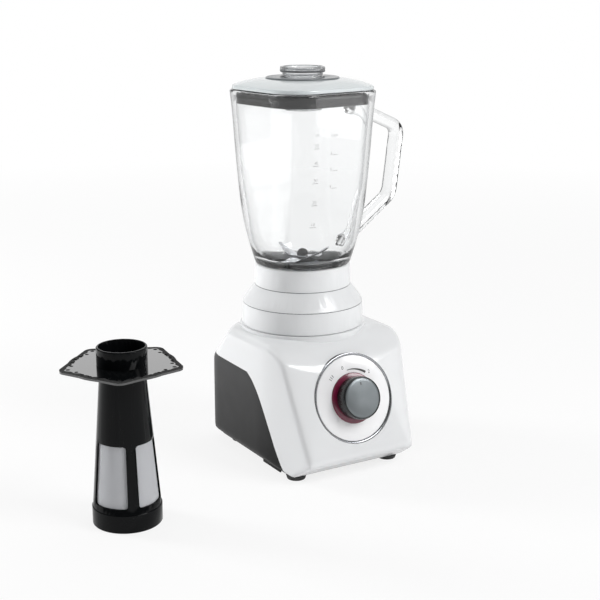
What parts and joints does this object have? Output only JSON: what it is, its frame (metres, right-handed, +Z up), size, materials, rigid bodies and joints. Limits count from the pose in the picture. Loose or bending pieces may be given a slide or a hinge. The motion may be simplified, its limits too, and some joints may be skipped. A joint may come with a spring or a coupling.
{
  "type": "countertop blender",
  "caption": "Countertop blender with a leaning front, round speed dial, tapered square glass jug with handle, domed lid and cup, and a strainer basket beside it.",
  "frame": {"origin": "on the drive axis, at the level of the countertop that the feet stand on", "axes": "+Z up along the drive axis, -Y out of the dial front, +X towards the jug handle"},
  "size_m": [0.4443, 0.2294, 0.415],
  "materials": {
    "white_shell": "smooth white moulded plastic",
    "dark_panel": "fine-grained charcoal plastic",
    "under_plastic": "dark moulded plastic",
    "foot_rubber": "black rubber",
    "pad_rubber": "grey rubber",
    "screw_steel": "zinc-plated screws",
    "inlet_plastic": "flexible light plastic bush",
    "dial_trim": "satin bright trim",
    "dial_face": "white-silver dial plate",
    "accent_red": "clear dark red ring",
    "knob_grey": "grey knob body",
    "knob_face": "satin grey cap",
    "shaft_steel": "ground steel",
    "switch_plastic": "switch housing",
    "laminations": "stacked steel sheets",
    "copper": "enamelled copper wire",
    "motor_cast": "cast motor frame",
    "board_green": "printed board",
    "board_black": "board components",
    "fan_plastic": "fan plastic",
    "dog_plastic": "tough drive plastic",
    "foot_white": "white moulded plastic",
    "dish_steel": "stainless blade seat",
    "blade_steel": "ground stainless blades",
    "hub_black": "black spacers",
    "jug_glass": "clear thick glass",
    "lid_plastic": "pale grey-white lid",
    "seal_rubber": "dark lid seal",
    "ring_grey": "smoky grey ring",
    "cup_clear": "clear plastic cup",
    "filter_black": "glossy black plastic",
    "filter_net": "fine strainer mesh"
  },
  "bodies": {
    "base": {"base_shell": "white_shell", "side_panel_left": "dark_panel", "side_panel_right": "dark_panel", "base_plate": "under_plastic", "foot_front_left": "foot_rubber", "foot_front_right": "foot_rubber", "foot_back_left": "foot_rubber", "foot_back_right": "foot_rubber", "base_screws": "screw_steel", "cord_inlet": "inlet_plastic", "dial_ring": "dial_trim", "dial_plate": "dial_face", "dial_accent": "accent_red", "speed_switch": "switch_plastic", "motor_stator": "laminations", "motor_windings": "copper", "motor_frame": "motor_cast", "control_board": "board_green", "board_parts": "board_black", "seat_pad": "pad_rubber"},
    "knob": {"speed_knob": "knob_grey", "knob_cap": "knob_face", "knob_shaft": "shaft_steel"},
    "rotor": {"rotor_core": "laminations", "rotor_windings": "copper", "cooling_fan": "fan_plastic", "motor_shaft": "shaft_steel", "drive_dog": "dog_plastic"},
    "jug_foot": {"foot_ring": "foot_white", "foot_cone": "foot_white", "jug_collar": "foot_white", "blade_dish": "dish_steel", "jug_gasket": "pad_rubber", "blade_bearing": "hub_black"},
    "blades": {"driven_dog": "dog_plastic", "blade_shaft": "shaft_steel", "blades_lower": "blade_steel", "blades_upper": "blade_steel", "blade_spacers": "hub_black", "blade_nut": "hub_black"},
    "jug": {"glass_jug": "jug_glass"},
    "lid": {"lid": "lid_plastic", "lid_seal": "seal_rubber", "fill_ring": "ring_grey"},
    "cup": {"measuring_cup": "cup_clear"},
    "filter": {"filter_basket": "filter_black", "filter_mesh": "filter_net", "filter_flange": "filter_black"}
  },
  "joints": [
    {"name": "knob_turn", "type": "hinge", "parent": "base", "child": "knob", "pos_m": [0, -0.10378, 0.0837], "axis": [0, -0.9573, 0.289], "range_deg": [-120, 35]},
    {"name": "motor_spin", "type": "hinge", "parent": "base", "child": "rotor", "pos_m": [0, 0, 0.08], "axis": [0, 0, 1], "continuous": true},
    {"name": "jug_foot_lift", "type": "slide", "parent": "base", "child": "jug_foot", "axis": [0, 0, 1], "range_m": [0, 0.045]},
    {"name": "blade_spin", "type": "hinge", "parent": "jug_foot", "child": "blades", "pos_m": [0, 0, 0.18], "axis": [0, 0, 1], "continuous": true},
    {"name": "jug_unscrew", "type": "hinge", "parent": "jug_foot", "child": "jug", "pos_m": [0, 0, 0.2], "axis": [0, 0, 1], "range_deg": [0, 60]},
    {"name": "lid_lift", "type": "slide", "parent": "jug", "child": "lid", "axis": [0, 0, 1], "range_m": [0, 0.04]},
    {"name": "cup_lift", "type": "slide", "parent": "lid", "child": "cup", "axis": [0, 0, 1], "range_m": [0, 0.05]},
    {"name": "filter_lift", "type": "slide", "parent": "base", "child": "filter", "axis": [0, 0, 1], "range_m": [0, 0.2]}
  ],
  "couplings": [
    {"joint": "blade_spin", "follows": "motor_spin", "ratio": 1}
  ]
}
